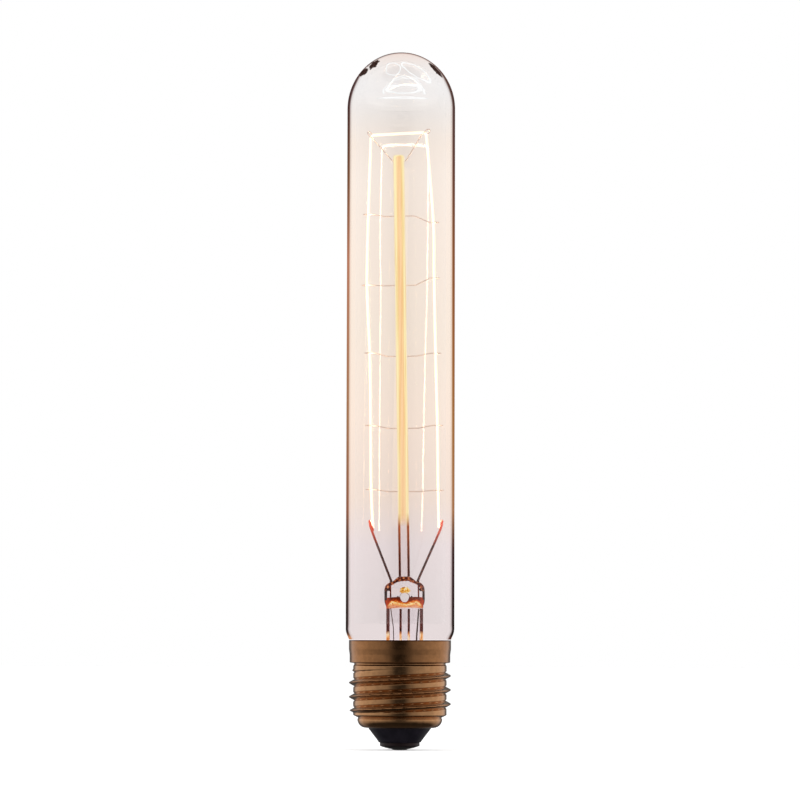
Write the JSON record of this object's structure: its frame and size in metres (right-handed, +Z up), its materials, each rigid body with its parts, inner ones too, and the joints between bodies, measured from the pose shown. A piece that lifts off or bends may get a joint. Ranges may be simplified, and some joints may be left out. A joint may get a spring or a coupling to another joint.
{
  "type": "filament light bulb",
  "caption": "Tubular clear-glass filament lamp with a glass stem and rod, a long hairpin filament on wire hooks, and a brass screw cap.",
  "frame": {"origin": "bottom of the centre contact, on the lamp's axis", "axes": "+Z up the lamp's axis from the cap towards the dome, +X to the right and -Y towards the viewer of the picture"},
  "size_m": [0.028, 0.028, 0.1808],
  "materials": {
    "clear_glass": "blown clear soda-lime glass, faint warm tint",
    "stem_glass": "lead glass tubing, fire-polished",
    "press_glass": "pinched lead glass, wavy, lit amber by the filament",
    "rod_glass": "solid glass cane, glowing amber beside the filament",
    "lead_nickel": "nickel-plated lead wire, browned by heat",
    "seal_copper": "copper-clad seal wire, red oxide",
    "lead_copper": "bare copper lead wire",
    "support_wire": "drawn molybdenum wire, dull grey-brown",
    "filament_glow": "coiled tungsten wire at glowing heat",
    "aged_brass": "thin rolled brass sheet with a brown antique finish",
    "cement": "baked capping cement, matt",
    "black_glass": "black glass insulator, fire-polished",
    "contact_brass": "stamped brass contact, tarnished dark",
    "solder": "soft solder, dull grey"
  },
  "bodies": {
    "root": {"glass_envelope": "clear_glass", "stem_flare": "stem_glass", "stem_press": "press_glass", "exhaust_tube": "stem_glass", "arbor_rod": "rod_glass", "inner_lead_left": "lead_nickel", "inner_lead_right": "lead_nickel", "seal_wire_left": "seal_copper", "seal_wire_right": "seal_copper", "outer_lead_left": "lead_copper", "outer_lead_right": "lead_copper", "top_hook_left": "support_wire", "top_hook_right": "support_wire", "support_1_left": "support_wire", "support_1_right": "support_wire", "support_2_left": "support_wire", "support_2_right": "support_wire", "support_3_left": "support_wire", "support_3_right": "support_wire", "support_4_left": "support_wire", "support_4_right": "support_wire", "support_5_left": "support_wire", "support_5_right": "support_wire", "filament": "filament_glow", "screw_shell": "aged_brass", "capping_cement": "cement", "glass_insulator": "black_glass", "contact_plate": "contact_brass", "centre_solder": "solder", "side_solder": "solder"}
  },
  "joints": []
}
